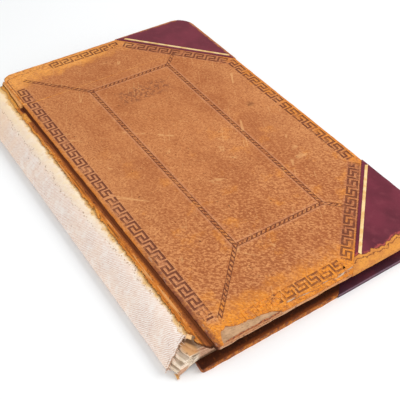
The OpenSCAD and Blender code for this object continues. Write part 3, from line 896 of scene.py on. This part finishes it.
def keyRun(start, end, hand):  # hand 1 has the key's top on the left of the way
    length = (Vector(end) - Vector(start)).length
    count = round(length / keySet["pitch"])
    pitch = length / count
    obj = started(bpy.ops.mesh.primitive_plane_add, size=1)
    bpy.ops.object.mode_set(mode="EDIT")
    bpy.ops.mesh.select_mode(type="VERT")
    bpy.ops.mesh.merge(type="CENTER")
    bpy.ops.transform.translate(value=(0, -hand * keySet["height"] / 2, 0))
    for a, b in zip(keySet["path"], keySet["path"][1:]):
        move = ((b[0] - a[0]) * pitch, (b[1] - a[1]) * keySet["height"] * hand, 0)
        bpy.ops.mesh.extrude_region_move(TRANSFORM_OT_translate={"value": move})
    bpy.ops.object.mode_set(mode="OBJECT")
    applied(obj, "ARRAY", count=count, use_relative_offset=False, use_constant_offset=True,
            constant_offset_displace=(pitch, 0, 0), use_merge_vertices=True, merge_threshold=0.05)
    bisected(obj, ((count - 0.28) * pitch, 0, 0), (1, 0, 0), drop=True)  # no foot after the last key
    edited(obj, bpy.ops.mesh.extrude_edges_move, TRANSFORM_OT_translate={"value": (0, 0, 3)})
    applied(obj, "SOLIDIFY", thickness=keySet["stroke"], offset=0, use_even_offset=True)
    return laid(outward(obj), start, end)


def ropeRun(start, end):
    start = Vector(start)
    way = (Vector(end) - start).normalized()
    inset = way * ropeSet["gap"]
    length = (Vector(end) - start).length - 2 * ropeSet["gap"]
    count = round(length / ropeSet["period"])
    half = (ropeSet["long"] / 2, ropeSet["wide"] / 2)
    obj = startBox("dash", (-half[0], -half[1], 0.06), (half[0], half[1], 3))
    obj.rotation_euler = (0, 0, math.radians(ropeSet["slant"]))
    fixed(obj)
    applied(obj, "ARRAY", count=count + 1, use_relative_offset=False, use_constant_offset=True,
            constant_offset_displace=(length / count, 0, 0))
    return laid(obj, start + inset, Vector(end) - inset)


def railRun(start, end):  # the two fine lines that bound a rope
    length = (Vector(end) - Vector(start)).length
    low, top = ropeSet["railAt"] - ropeSet["rail"] / 2, ropeSet["railAt"] + ropeSet["rail"] / 2
    rails = [startBox("rail", (0, low, 0.12), (length, top, 3)),
             startBox("rail", (0, -top, 0.12), (length, -low, 3))]
    return laid(joined("rails", rails), start, end)


def toolingCutters(material):  # in sets, so that no two runs in a set touch
    k = keySet
    edges = []
    for x, (tail, head), meet, hand in (
        (k["jointX"], k["jointRun"], high / 2 + k["jointMeet"], 1),
        (wide - k["foreIn"], k["foreRun"], high / 2 + k["foreMeet"], -1),
    ):  # two runs on each side, from its ends to where they meet
        edges.append(keyRun((x, tail), (x, meet + k["lap"]), hand))
        edges.append(keyRun((x, head), (x, meet - k["lap"]), -hand))
    for y, (start, end), hand in ((k["tailY"], k["tailRun"], -1), (high - k["headIn"], k["headRun"], 1)):
        edges.append(keyRun((start, y), (end, y), hand))
    slants = []
    for at, hand in (("tail", -1), ("head", 1)):
        begin, stop = k["cornerRun"][at]
        point, side = cornerCut(at, -1)
        way = Vector((-side.y, side.x, 0)) * hand
        base = point + side * k["cornerIn"]
        slants.append(keyRun((base + way * begin).to_2d(), (base + way * stop).to_2d(), hand))
    (x0, x1), (y0, y1) = panel["x"], panel["y"]
    corners = [(x0, y0), (x0, y1), (x1, y0), (x1, y1)]
    uprights = [(corners[0], corners[1]), (corners[2], corners[3])]
    levels = [(corners[0], corners[2]), (corners[1], corners[3])]
    slopes = list(zip(panel["mitres"], corners))
    sets = [edges + [ropeRun(*line) for line in uprights], slants + [ropeRun(*line) for line in levels],
            [ropeRun(*line) for line in slopes]]
    sets += [[railRun(*line) for line in lines] for lines in (uprights, levels, slopes)]
    cutters = [joined("tooling", runs) for runs in sets]
    for cutter in cutters:
        cutter.data.materials.append(material)
    return cutters


def tanCover(name, side, mats, seed):
    lap = coverSet["lap"] if side == "front" else 0
    cuts = [cornerCut("tail", 1, lap), cornerCut("head", 1, lap)]
    grow = skinThick
    obj = coverBlank(name, 0, wide + grow, -grow, high + grow, coverThick, grow, cuts, coverSet["step"],
                     coverSet["tailRound"][side])
    applied(obj, "BEVEL", width=coverSet["edgeRound"], segments=3, limit_method="ANGLE",
            angle_limit=math.radians(50))
    obj.data.materials.append(mats[0])
    hollowed(obj)
    if side == "front":
        subtract(obj, tornPatch())
    for cutter in toolingCutters(mats[1]):
        subtract(obj, cutter)
    if side == "front":
        rim = remnant()
        rim.data.materials.append(mats[2])
        obj = joined(name, [obj, rim])
    weathered(obj, seed)
    settle(obj, side)
    return dressed(obj, side + "_cover", "tan_leather", *mats)


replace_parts(tanCover("frontLeather", "front", (frontTan, frontTool, frontRim), 1.3), "front_leather")
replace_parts(tanCover("backLeather", "back", (backTan, backTool), 7.7), "back_leather")
print("tan covers cut and tooled")


def cornerPiece(name, side, at, mat, seed):
    lx, ly = coverSet[at + "Leg"]
    grow = skinThick + proud
    rise = proud if side == "front" else 0
    y0, y1 = (-grow, ly + 4) if at == "tail" else (high - ly - 4, high + grow)
    cuts = [cornerCut(at, -1, coverSet["margin"] if side == "front" else 0)]
    obj = coverBlank(name, wide - lx - 4, wide + grow, y0, y1, coverThick + rise, grow, cuts,
                     coverSet["step"])
    edgeRound = coverSet["edgeRound"] if side == "front" else coverSet["backRound"]
    applied(obj, "BEVEL", width=edgeRound, segments=6, limit_method="ANGLE", angle_limit=math.radians(50))
    hollowed(obj)
    if side == "front" and at == "tail":  # skinned thin along the tail edge
        for v in obj.data.vertices:
            v.co.z -= (rise - 0.15) * ease((10 - v.co.y) / 6) * ease(v.co.z - coverThick + 1)
    weathered(obj, seed, ragged=0.12, wave=0.05)
    settle(obj, side)
    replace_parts(obj, side + "_corner_" + at)
    return dressed(obj, side + "_cover", "maroon_leather", mat)


for at in ("head", "tail"):
    cornerPiece("frontCorner" + at.title(), "front", at, maroonMats[at], 2.0 + len(at))
    cornerPiece("backCorner" + at.title(), "back", at, maroonMats["back"], 5.0 + len(at))

giltLines = {"tail": ((129.6, 9.3), (199.6, 75.4)), "head": ((128.6, 337.4), (199.1, 260.1))}


def giltStrip(name, side, at):
    start, end = (Vector(p) for p in giltLines[at])
    way = end - start
    half = gilt["width"] / 2
    rise = proud if side == "front" else 0
    top = coverThick + rise + gilt["rise"]
    obj = startGrid(name, 0, way.length, -half, half, 0, gilt["step"])

    def change(p):  # slanted ends, rubbed sides
        slant = p.y * 0.5 * (1 - 2 * p.x / way.length)
        return Vector((p.x + slant, p.y * (1 + 0.10 * rag(p.x, 4)), 0))

    moved(obj, change)
    applied(obj, "SOLIDIFY", thickness=gilt["rise"] + 0.2, offset=-1)
    obj.rotation_euler = (0, 0, math.atan2(way.y, way.x))
    obj.location = (start.x, start.y, top)
    fixed(obj)
    settle(obj, side)
    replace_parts(obj, side + "_gilt_" + at)
    return dressed(obj, side + "_cover", "gilt", giltMat)


for side in ("front", "back"):
    for at in ("head", "tail"):
        giltStrip(side + "Gilt" + at.title(), side, at)
print("corner pieces and gilt laid on")


# line of the spine

canvasSet = {
    "shoulder": 9, "over": 1.2, "foot": 3.2, "under": 13, "thick": 0.7, "step": 1.25,
    "tail": 12.4, "head": 331, "tearRise": 7, "ragged": 0.9, "crease": 0.22,
    "shoulderRound": 8, "footDrop": 2, "footRound": (1.2, 4.2), "backSteps": 24, "footSteps": 8,
}
canvasLong = canvasSet["head"] - canvasSet["tail"]
jointSet = {
    "tornX": (-8.9, -6.4), "boardGap": 0.45, "thick": 0.75, "lip": 20.9, "step": 0.8, "across": 16,
    "ragged": 1.5, "tail": 2.0, "slantEnd": 9, "head": 335, "headSlant": 6, "headNarrow": 2.2, "curl": 0.9,
    "peelFrom": 291, "peelRise": 0.7, "peelOver": 0.85, "flap": (276, 9, 0.9), "crumbs": (201, 15, 0.6),
    "lipShare": 0.25, "slantPower": 1.6, "narrowFrom": 285, "narrowOver": 45, "bendWide": 6,
}


def tornAt(y):  # the torn edge's mean line, further out at the tail
    low, top = jointSet["tornX"]
    return low + (top - low) * y / high


def bezier(points, t):
    a, b, c, d = (Vector(p) for p in points)
    s = 1 - t
    return a * s ** 3 + b * 3 * s * s * t + c * 3 * s * t * t + d * t ** 3


def spineLine():  # outer face of the canvas, from the front joint over the back and under it
    c = canvasSet
    near, far = c["footRound"]
    back = ((-c["shoulder"], canvasTop), (-c["shoulder"] - c["shoulderRound"], canvasTop),
            (-reach, canvasTop / 2), (-reach, c["foot"]))
    under = ((-reach, c["foot"]), (-reach, c["foot"] - c["footDrop"]),
             (-reach + near, canvasLift), (-reach + far, canvasLift))
    line = [Vector((-c["over"], canvasTop))]
    line += [bezier(back, i / c["backSteps"]) for i in range(c["backSteps"] + 1)]
    line += [bezier(under, i / c["footSteps"]) for i in range(1, c["footSteps"] + 1)]
    return line + [Vector((-c["under"], canvasLift))]


def lengthOf(line):
    return sum((b - a).length for a, b in zip(line, line[1:]))


def walk(line, far):  # the point so far along a line
    for a, b in zip(line, line[1:]):
        size = (b - a).length
        if far <= size or b is line[-1]:
            return a + (b - a) * (far / size)
        far -= size


canvasLine = spineLine()
canvasFlat = lengthOf(canvasLine)


def tornTail(s):  # the tail end of the canvas, torn upwards to the joint
    share = ease(1.25 - 2.2 * s / canvasFlat)
    return canvasSet["tail"] + canvasSet["tearRise"] * share + canvasSet["ragged"] * rag(s * 1.3, 6)


def tornHead(s):
    return canvasSet["head"] + 0.8 * rag(s, 11)


# page block: five folded sections

pageSet = {
    "sections": 5, "foldRadius": 2.05, "foldSteps": 5, "bend": 17, "foreHollow": 1.6, "uneven": 0.22,
    "layers": 5, "bendCuts": 11, "flatCuts": 24, "longCuts": 30,
    "worn": (2.4, 1.6, 1.0, 0.6, -0.2), "drawIn": 2.0, "tailLean": 1.5, "tailCuts": (1, 2, 3.5, 5, 7, 9),
    "foldCurve": ((-11.5, 14.65), (-16, 13.75), (-24.2, 8.8), (-24.9, 3.4)),
}


def pageSection(i):  # one folded gathering, from the top down
    n = pageSet["sections"]
    thick = (zFront - zBack) / n
    fold = bezier(pageSet["foldCurve"], i / (n - 1))
    r = pageSet["foldRadius"]
    middle = zFront - thick * (i + 0.5)
    start = fold.x - r
    fore = pageFore - 1
    obj = startBox("section", (start, pageTail, -thick / 2), (fore, pageHead, thick / 2))
    points = obj.data.vertices
    for e in obj.data.edges:  # the two long edges of its back
        a, b = (points[v].co for v in e.vertices)
        e.select = max(a.x, b.x) < start + 0.01 and abs(a.y - b.y) > 1
    for v in points:
        v.select = v.co.x < start + 0.01
    for f in obj.data.polygons:
        f.select = False
    only(obj)
    bpy.ops.object.mode_set(mode="EDIT")
    bpy.ops.mesh.select_mode(type="EDGE")
    bpy.ops.mesh.bevel(offset=thick * 0.49, segments=pageSet["foldSteps"], affect="EDGES")
    bpy.ops.object.mode_set(mode="OBJECT")
    bend = pageSet["bend"]
    bendCuts, flatCuts, longCuts = pageSet["bendCuts"], pageSet["flatCuts"], pageSet["longCuts"]
    for k in range(bendCuts + 1):
        bisected(obj, (start + thick / 2 + bend * k / bendCuts, 0, 0), (1, 0, 0))
    for k in range(1, flatCuts):
        bisected(obj, (start + bend + (fore - start - bend) * k / flatCuts, 0, 0), (1, 0, 0))
    for k in range(1, longCuts):
        bisected(obj, (0, pageTail + (pageHead - pageTail) * k / longCuts, 0), (0, 1, 0))
    for k in pageSet["tailCuts"]:
        bisected(obj, (0, pageTail + k, 0), (0, 1, 0))
    for k in range(1, pageSet["layers"]):
        bisected(obj, (0, 0, thick * (k / pageSet["layers"] - 0.5)), (0, 0, 1))

    for loop in obj.data.loops:
        p = obj.data.vertices[loop.vertex_index].co
        obj.data.uv_layers.active.data[loop.index].uv = (0, p.z / thick + 0.5)

    def change(p):
        back = ease(1 - (p.x - start) / (bend + thick))
        swell = 1 + (r / (thick / 2) - 1) * back
        z = middle + (fold.y - middle) * back + p.z * swell * 0.995
        level = (z - zBack) / (zFront - zBack)
        out = ease((p.x - start - bend) / (fore - start - bend))
        slant = -lean * (1 - level) - pageSet["foreHollow"] * math.sin(math.pi * min(1, max(0, level))) + 1
        push = wander((p.x, p.y * 0.2, z * 9), 11, 3.1 + i)
        fine = wander((p.x, p.y, z * 12), 2.6, 8.1 + i)
        end = 1 if p.y > high / 2 else -1
        atEnd = ease(1 - min(p.y - pageTail, pageHead - p.y) / 2)
        y = p.y + end * atEnd * ((push.y + fine.y * 0.5) * pageSet["uneven"] - 0.2)
        x = p.x + slant * out + out ** 8 * push.x * pageSet["uneven"]
        x += back * wander((0, p.y, 0), 24, 4 + i).x * 0.25
        tailward = ease(1 - (p.y - pageTail) / 9)  # fold corners worn and drawn in, lower leaves set back
        x += pageSet["drawIn"] * back * tailward
        y += (pageSet["worn"][i] * back + pageSet["tailLean"] * (1 - level) * (1 - back)) * tailward
        return Vector((x, y, min(z, zFront - 0.02)))

    return moved(obj, change)


def liningCurl():  # one scrap of the paper lining, rolled up tight beside the joint
    start, end = Vector(curlSet["from"]), Vector(curlSet["to"])
    way = (end - start).normalized()
    side = way.cross(Vector((0, 0, 1)))
    obj = startGrid("curl", 0, 1, 0, 1, 0, 1 / curlSet["aroundSteps"], 1 / curlSet["alongSteps"])

    def change(p):
        turn = p.y * curlSet["turns"] * 2 * math.pi + 0.4
        r = curlSet["wide"] * (0.62 + 0.38 * p.y) * (1 + 0.14 * rag(p.x * 9, 60))
        along = p.x + 0.08 * rag(p.y * 14, 63) * (1 if p.x > 0.5 else -1)
        return start.lerp(end, along) + (side * math.cos(turn) + Vector((0, 0, 1)) * math.sin(turn)) * r

    moved(obj, change)
    return applied(obj, "SOLIDIFY", thickness=0.3, offset=0)


sections = [pageSection(i) for i in range(pageSet["sections"])]
curl = liningCurl()
for obj in sections:
    obj.data.materials.append(edgeMat)
curl.data.materials.append(liningMat)
pageBlock = settle(joined("pageBlock", sections + [curl]))
dressed(pageBlock, "text_block", "paper", edgeMat, liningMat, smooth=40)
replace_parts(pageBlock, "page_block")
print("sections folded and stacked")


# canvas lining over the spine

def canvasPoint(p):
    s = p.x
    place = walk(canvasLine, s)
    share = (p.y - canvasSet["tail"]) / canvasLong
    y = tornTail(s) + (tornHead(s) - tornTail(s)) * share
    crease = wander((s, y * 0.5, 0), 16, 5.5).z * canvasSet["crease"] * ease(s / 14)
    out = Vector((-0.6, 0.5)) * crease
    return Vector((place.x + out.x, y, max(place.y + out.y, canvasLift)))


spineCanvas = startGrid("spineCanvas", 0, canvasFlat, canvasSet["tail"], canvasSet["head"], 0,
                        canvasSet["step"])
moved(spineCanvas, canvasPoint)
edited(spineCanvas, bpy.ops.mesh.flip_normals)
applied(spineCanvas, "SOLIDIFY", thickness=canvasSet["thick"], offset=-1)
settle(spineCanvas)
twillMat = finish("canvasTwill", twillPaint, roughness=0.92, specular=0.12, bumpDepth=0.16)
dressed(spineCanvas, "text_block", "canvas", twillMat, smooth=60)
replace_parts(spineCanvas, "spine_canvas")
print("canvas drawn over the spine")


# torn leather left in the joint

def stripPoint(p):  # p.x runs from the board's edge, 0, to the torn edge, 1
    j = jointSet
    share = max(0, (p.x - j["lipShare"]) / (1 - j["lipShare"]))
    tail = j["tail"] + j["slantEnd"] * share ** j["slantPower"] + 0.8 * rag(p.x * 9, 29)
    head = j["head"] - j["headSlant"] * share
    y = tail + (p.y - j["tail"]) / (j["head"] - j["tail"]) * (head - tail)
    narrowed = j["headNarrow"] * ease((y - j["narrowFrom"]) / j["narrowOver"])
    torn = tornAt(y) + narrowed + j["ragged"] * rag(y, 21)
    bed = canvasTop + j["thick"]
    peeled = ease((y - j["peelFrom"]) / 4) * ease((j["head"] - y) / 6)  # pale skin left over the board's edge
    lip = Vector((-j["boardGap"], j["lip"] + 0.5 * rag(y, 33)))
    lip = lip.lerp(Vector((j["peelOver"], j["lip"] + 0.7)), peeled)
    foot = Vector((-j["boardGap"] - 1.0, bed + 0.05))
    at = lip.lerp(foot, min(1, p.x / j["lipShare"]))
    if share:
        flapY, flapLong, flapRise = j["flap"]
        crumbY, crumbLong, crumbRise = j["crumbs"]
        rough = 0.22 + crumbRise * ease(1 - abs(y - crumbY) / crumbLong)
        at.x += (torn - foot.x) * share
        at.y += 0.35 * math.sin(math.pi * share)
        lump = wander((at.x, y * 0.4, 0), 3.2, 2.2).z + 0.5 * wander((at.x, y, 0), 1.3, 6.2).z
        at.y += max(0, lump) * rough
        at.y += flapRise * ease(1 - abs(y - flapY) / flapLong) * math.sin(math.pi * share ** 2)
        at.y += j["curl"] * ease((share - 0.8) / 0.2) * max(0, rag(y, 27))
    bridge = peeled * ease((0.60 - p.x) / 0.16)  # and over the groove
    at.y += j["peelRise"] * bridge * max(0, lip.y - at.y)
    return Vector((at.x, y, at.y))


jointLeather = startGrid("jointLeather", 0, 1, jointSet["tail"], jointSet["head"], 0, jointSet["step"],
                         1 / jointSet["across"])
moved(jointLeather, stripPoint)
edited(jointLeather, bpy.ops.mesh.flip_normals)
applied(jointLeather, "SOLIDIFY", thickness=jointSet["thick"], offset=-1)
settle(jointLeather)
stripMat = finish("jointLeather", stripPaint, specular=0.12, bumpDepth=0.45)
dressed(jointLeather, None, "tan_leather", stripMat, smooth=50)
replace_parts(jointLeather, "joint_leather")
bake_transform(jointLeather)
print("joint leather torn")


# loose threads at the torn tail

threadSet = {"count": 16, "thick": (0.16, 0.24), "long": (1.6, 4.6), "tip": (-25.4, 5.2, 0.9), "tuft": 9,
             "tuftThick": 0.32, "spread": (0.10, 0.64), "sides": 5, "pieces": 7, "seed": 7}


def strand(points, radius):  # a thin round thread along a curve
    obj = started(bpy.ops.mesh.primitive_cylinder_add, vertices=threadSet["sides"], radius=radius, depth=1)
    pieces = threadSet["pieces"]
    for k in range(1, pieces):
        bisected(obj, (0, 0, k / pieces - 0.5), (0, 0, 1))

    def change(p):
        t = p.z + 0.5
        way = (bezier(points, t + 0.02) - bezier(points, t - 0.02)).normalized()
        side = way.cross(Vector((0, 0, 1))).normalized()
        return bezier(points, t) + (side * p.x + side.cross(way) * p.y) * (1 - 0.5 * t * t)

    return moved(obj, change)


def tornThreads():
    t = threadSet
    dice = random.Random(t["seed"])
    made = []
    first, spread = t["spread"]  # as shares of the canvas, from the joint
    for i in range(t["count"]):
        s = canvasFlat * (first + spread * (i + dice.random()) / t["count"])
        at = walk(canvasLine, s)
        start = Vector((at.x, tornTail(s) + 0.6, at.y - 0.1))
        go = Vector((dice.uniform(-1.2, 1.2), -1, 0)).normalized() * dice.uniform(*t["long"])
        bow = Vector((dice.uniform(-0.8, 0.8), 0, dice.uniform(0.1, 0.8)))
        end = start + go - Vector((0, 0, dice.uniform(0, 0.5)))
        end.z = max(end.z, canvasLift + 0.2)
        made.append(strand((start, start + go / 3 + bow, end - go / 3 + bow, end), dice.uniform(*t["thick"])))
    tip = Vector(t["tip"])
    for i in range(t["tuft"]):
        start = tip + Vector((dice.uniform(-0.6, 2.2), dice.uniform(1, 3), dice.uniform(0, 1.4)))
        end = tip + Vector((dice.uniform(-0.8, 1.4), dice.uniform(-1.6, 0.2), dice.uniform(-0.4, 0.2)))
        bow = Vector((dice.uniform(-0.6, 0.6), 0, dice.uniform(0, 0.5)))
        points = (start, start.lerp(end, 0.3) + bow, start.lerp(end, 0.7) + bow, end)
        made.append(strand(points, t["tuftThick"]))
    return joined("tornThreads", made)


def threadPaint(place):
    x, y, z = place.parts()
    fine = place.cloud(0.8, 2)
    tip = (x + 25).size().step(4, 2) * z.step(3.2, 2.2)
    colour = fine.step(0.4, 0.6).over(twill["cream"], twill["shade"])
    colour = tip.over(colour, fine.step(0.4, 0.6).over(twill["glue"], paper["stain"]))
    return colour, None, fine


tornEnds = settle(tornThreads())
threadMat = finish("looseThread", threadPaint, roughness=0.9, specular=0.1, bumpDepth=0.05)
dressed(tornEnds, "text_block", "canvas", threadMat, smooth=60)
print("threads frayed")


# boards, endpapers and tapes keep their built shapes

for node, mat in (("front_board", boardMat), ("back_board", boardMat), ("front_pastedown", leafMat),
                  ("back_pastedown", leafMat), ("sewing_tapes", tapeMat)):
    obj = bpy.data.objects[node]
    obj.data.materials.clear()
    obj.data.materials.append(mat)


# floor, light and camera

studio = {
    "floor": 4.0, "paper": 0.95, "behind": 1.0, "world": 0.60, "cool": rgb(0.97, 0.99, 1.0),
    "key": {"place": (1.00, -0.36, 1.00), "size": 0.8, "power": 14.8},
    "fill": {"place": (-0.85, -0.75, 0.55), "size": 1.0, "power": 4.6},
}
view = {"place": (-248.3, -358.7, 395.7), "down": 44.82, "turn": -32.57, "roll": 0.49, "lens": 63.1,
        "shiftX": 0.095}

floor = started(bpy.ops.mesh.primitive_plane_add, size=studio["floor"])
floor.name = "floor"
floorMat = bpy.data.materials.new("paperFloor")
floorMat.use_nodes = True
floorShader = floorMat.node_tree.nodes["Principled BSDF"]
floorShader.inputs["Base Color"].default_value = rgb(*[studio["paper"]] * 3)
floorShader.inputs["Roughness"].default_value = 1.0
floorShader.inputs["Specular IOR Level"].default_value = 0.0
floor.data.materials.append(floorMat)

world = bpy.data.worlds.new("softRoom")
bpy.context.scene.world = world
world.use_nodes = True
tree = world.node_tree
ray = Wire(tree, tree.nodes.new("ShaderNodeLightPath").outputs["Is Camera Ray"])
strength = ray * (studio["behind"] - studio["world"]) + studio["world"]
tree.links.new(strength.socket, tree.nodes["Background"].inputs["Strength"])
tint = ray.over(studio["cool"], rgb(1, 1, 1))
tree.links.new(tint.socket, tree.nodes["Background"].inputs["Color"])

for name in ("key", "fill"):
    bpy.ops.object.light_add(type="AREA", location=studio[name]["place"])
    lamp = bpy.context.object
    lamp.name = name + "Light"
    lamp.data.size = studio[name]["size"]
    lamp.data.energy = studio[name]["power"]
    lamp.rotation_euler = (-lamp.location).to_track_quat("-Z", "Y").to_euler()

bpy.ops.object.camera_add(location=[p * mm for p in view["place"]])
camera = bpy.context.object
camera.data.lens = view["lens"]
camera.data.shift_x = view["shiftX"]
look = Euler((math.radians(90 - view["down"]), 0, math.radians(view["turn"]))).to_matrix()
camera.rotation_euler = (look @ Matrix.Rotation(math.radians(view["roll"]), 3, "Z")).to_euler()
bpy.context.scene.camera = camera
bpy.context.scene.view_settings.view_transform = "Standard"

print("scene ready")
